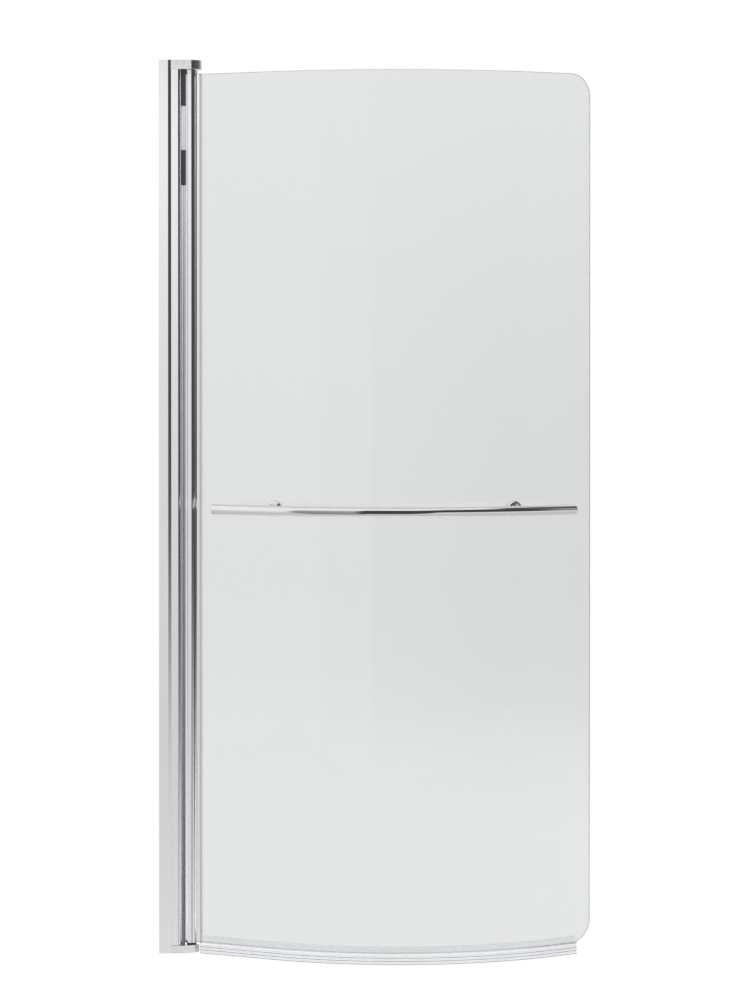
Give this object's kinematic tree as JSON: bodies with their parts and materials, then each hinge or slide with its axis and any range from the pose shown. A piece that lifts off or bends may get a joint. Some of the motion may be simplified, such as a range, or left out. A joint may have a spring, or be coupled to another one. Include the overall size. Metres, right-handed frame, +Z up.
{
  "type": "bath screen",
  "caption": "Curved glass bath screen on a bright wall channel, with a round pivot post, a curved towel rail on stand-offs and a clear finned bottom seal.",
  "frame": {"origin": "on the wall plane, at the foot of the wall channel and the middle of its depth", "axes": "+X away from the wall along the bath to the free edge of the glass, +Y into the bath, -Y to the room side towards which the glass bows, +Z up"},
  "size_m": [0.6774, 0.1684, 1.4018],
  "materials": {
    "bright_aluminium": "polished bright, chrome effect",
    "polished_chrome": "mirror polished",
    "plated_plug": "chrome plated",
    "stainless_steel": "turned",
    "clear_glass": "clear, polished edges",
    "clear_seal": "clear soft vinyl",
    "grey_gasket": "matt",
    "black_acetal": "smooth",
    "clear_nylon": "satin"
  },
  "bodies": {
    "wall_side": {"wall_channel": "bright_aluminium", "channel_grub_screws": "stainless_steel"},
    "pivot_frame": {"pivot_profile": "bright_aluminium", "post_wiper_seal": "clear_seal", "post_guide_blocks": "black_acetal", "top_cap": "polished_chrome", "bottom_cap": "polished_chrome", "cap_screws": "stainless_steel", "top_pivot_pin": "stainless_steel", "bottom_pivot_pin": "stainless_steel", "thrust_washer": "black_acetal"},
    "screen": {"hinge_post": "bright_aluminium", "top_post_plug": "plated_plug", "bottom_post_plug": "plated_plug", "top_bush": "black_acetal", "bottom_bush": "black_acetal", "glazing_gasket": "grey_gasket", "glass_panel": "clear_glass", "bottom_seal": "clear_seal", "towel_rail": "polished_chrome", "rail_end_cap_left": "polished_chrome", "rail_end_cap_right": "polished_chrome", "rail_post_left": "polished_chrome", "rail_post_right": "polished_chrome", "rosette_left": "polished_chrome", "rosette_right": "polished_chrome", "inner_cover_left": "polished_chrome", "inner_cover_right": "polished_chrome", "glass_hole_bushes": "clear_nylon", "outer_washers": "clear_nylon", "inner_washers": "clear_nylon", "glass_fixing_screws": "stainless_steel", "rail_studs": "stainless_steel", "rail_thread_inserts": "stainless_steel"}
  },
  "joints": [
    {"name": "width_adjust", "type": "slide", "parent": "wall_side", "child": "pivot_frame", "axis": [1, 0, 0], "range_m": [0, 0.006]},
    {"name": "screen_pivot", "type": "hinge", "parent": "pivot_frame", "child": "screen", "pos_m": [0.05, 0, 0.7], "axis": [0, 0, 1], "range_deg": [-50, 90]}
  ]
}
